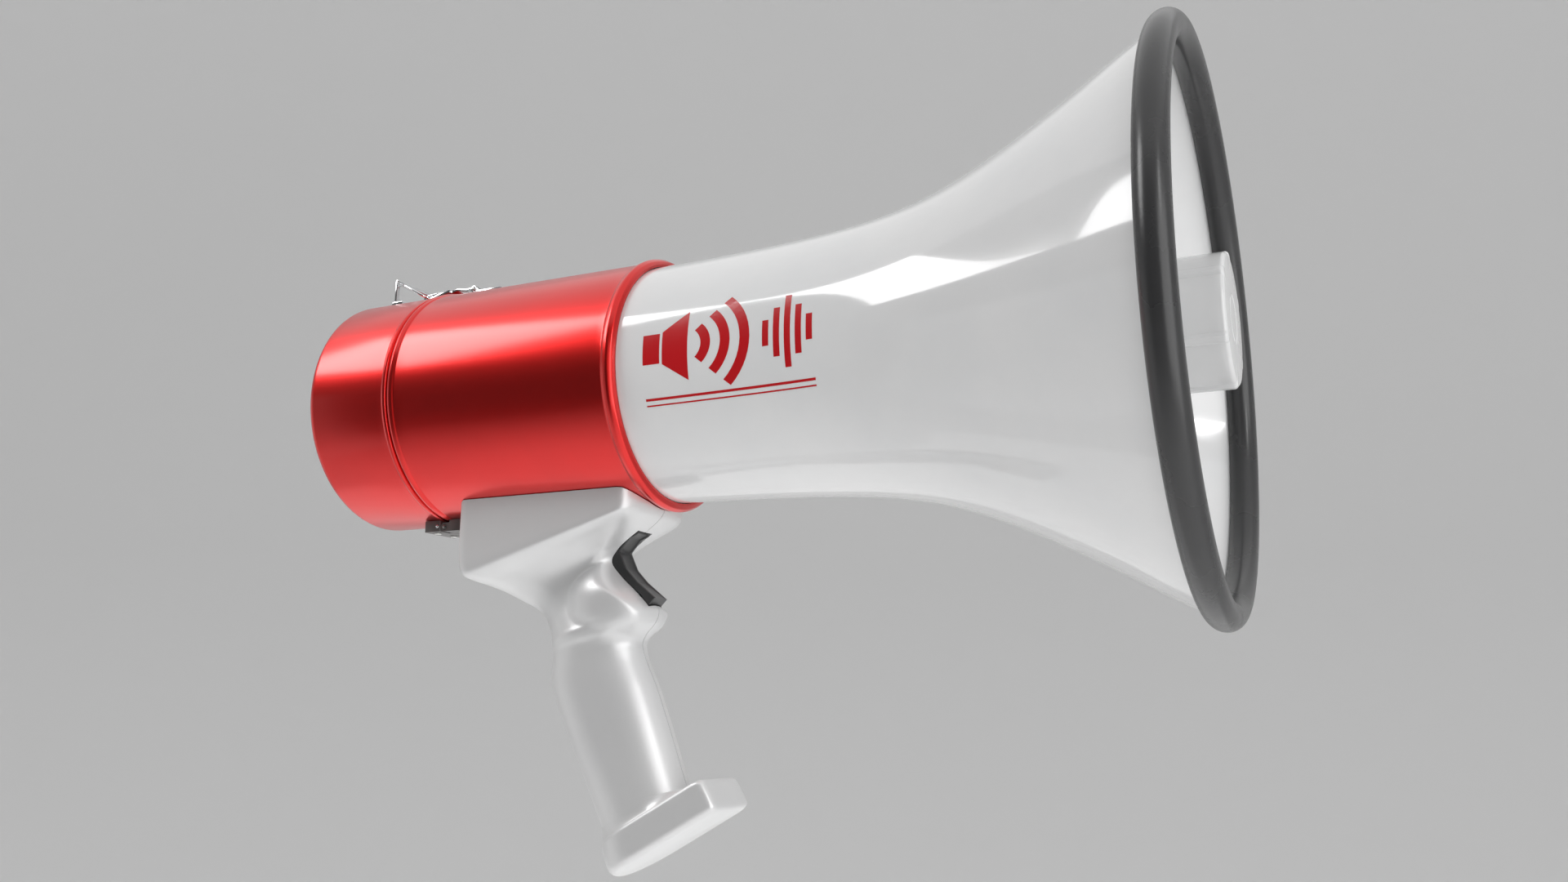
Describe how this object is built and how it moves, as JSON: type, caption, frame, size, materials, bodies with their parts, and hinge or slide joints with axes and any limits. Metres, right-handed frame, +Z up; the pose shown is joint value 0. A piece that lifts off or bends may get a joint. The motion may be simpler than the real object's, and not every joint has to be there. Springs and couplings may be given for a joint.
{
  "type": "handheld megaphone",
  "caption": "Handheld reflex-horn megaphone: flared bell with rubber rim, battery drum with hinged rear cover, latch, pistol grip and trigger.",
  "frame": {"origin": "centre of the flat nose of the driver cap, on the horn axis", "axes": "+X along the horn axis out of the mouth, +Z up with the grip hanging down, +Y across"},
  "size_m": [0.3925, 0.2216, 0.3127],
  "materials": {
    "white_plastic": "gloss white moulded plastic",
    "red_metal": "metallic red lacquer on spun aluminium",
    "rubber": "satin dark grey rubber",
    "black_plastic": "satin black moulded plastic",
    "chrome": "bright plated steel",
    "steel": "zinc plated steel",
    "dark_steel": "black oxide steel",
    "ferrite": "sintered ferrite, matt",
    "copper": "enamelled copper winding",
    "circuit_board": "green solder mask",
    "cell_wrap": "plain printed foil round a dry cell",
    "red_plastic": "red moulded plastic"
  },
  "bodies": {
    "horn": {"battery_cell_1": "cell_wrap", "battery_cell_2": "cell_wrap", "battery_cell_3": "cell_wrap", "battery_cell_4": "cell_wrap", "battery_cell_5": "cell_wrap", "battery_cell_6": "cell_wrap", "battery_cell_7": "cell_wrap", "battery_cell_8": "cell_wrap", "battery_spine": "black_plastic", "battery_tray_front": "black_plastic", "battery_tray_rear": "black_plastic", "diaphragm": "black_plastic", "driver_cap": "white_plastic", "driver_housing": "white_plastic", "driver_magnet": "ferrite", "driver_top_plate": "steel", "driver_yoke": "steel", "drum_body": "red_metal", "handle_foot": "white_plastic", "handle_left": "white_plastic", "handle_right": "white_plastic", "handle_screw_1": "steel", "handle_screw_2": "steel", "handle_screw_3": "steel", "hinge_leaf_drum": "dark_steel", "hinge_pin": "steel", "horn_bell": "white_plastic", "latch_base": "chrome", "latch_pin": "steel", "reflector_cup": "white_plastic", "rim_ring": "rubber", "saddle_screw_1": "steel", "saddle_screw_2": "steel", "saddle_screw_3": "steel", "saddle_screw_4": "steel", "seam_gasket": "rubber", "tone_tube": "white_plastic", "trigger_pin": "steel", "trigger_spring": "steel", "trigger_switch": "black_plastic", "tube_spider": "white_plastic", "voice_coil": "copper"},
    "cover": {"rear_cover": "red_metal", "amplifier_board": "circuit_board", "heat_sink": "steel", "output_transformer": "dark_steel", "capacitor_1": "black_plastic", "capacitor_2": "black_plastic", "mic_capsule": "black_plastic", "mic_grille": "black_plastic", "volume_pot": "steel", "switch_body": "black_plastic", "hinge_leaf_cover": "dark_steel", "latch_keeper": "chrome"},
    "knob": {"volume_knob": "black_plastic"},
    "slider": {"switch_slider": "black_plastic"},
    "button": {"siren_button": "red_plastic"},
    "lever": {"latch_lever": "chrome"},
    "bail": {"latch_bail": "chrome"},
    "trigger": {"trigger": "black_plastic"}
  },
  "joints": [
    {"name": "cover_hinge", "type": "hinge", "parent": "horn", "child": "cover", "pos_m": [-0.3399, 0, -0.0553], "axis": [0, -1, 0], "range_deg": [0, 95]},
    {"name": "latch_lever_pivot", "type": "hinge", "parent": "horn", "child": "lever", "pos_m": [-0.3313, 0, 0.0551], "axis": [0, 1, 0], "range_deg": [0, 110]},
    {"name": "latch_bail_pivot", "type": "hinge", "parent": "lever", "child": "bail", "pos_m": [-0.3595, 0, 0.0553], "axis": [0, 1, 0], "range_deg": [0, 130]},
    {"name": "trigger_pivot", "type": "hinge", "parent": "horn", "child": "trigger", "pos_m": [-0.248, 0, -0.0606], "axis": [0, 1, 0], "range_deg": [0, 8], "stiffness_Nm_per_rad": 1.2, "springref_deg": -6.88, "deforming": ["trigger_spring"]},
    {"name": "volume_knob_turn", "type": "hinge", "parent": "cover", "child": "knob", "pos_m": [-0.3842, 0.021, -0.02], "axis": [1, 0, 0], "range_deg": [0, 300]},
    {"name": "mode_switch_slide", "type": "slide", "parent": "cover", "child": "slider", "axis": [0, 1, 0], "range_m": [0, 0.0074]},
    {"name": "siren_button_press", "type": "slide", "parent": "cover", "child": "button", "axis": [1, 0, 0], "range_m": [0, 0.0025], "stiffness_N_per_m": 400, "springref_m": -0.002}
  ]
}
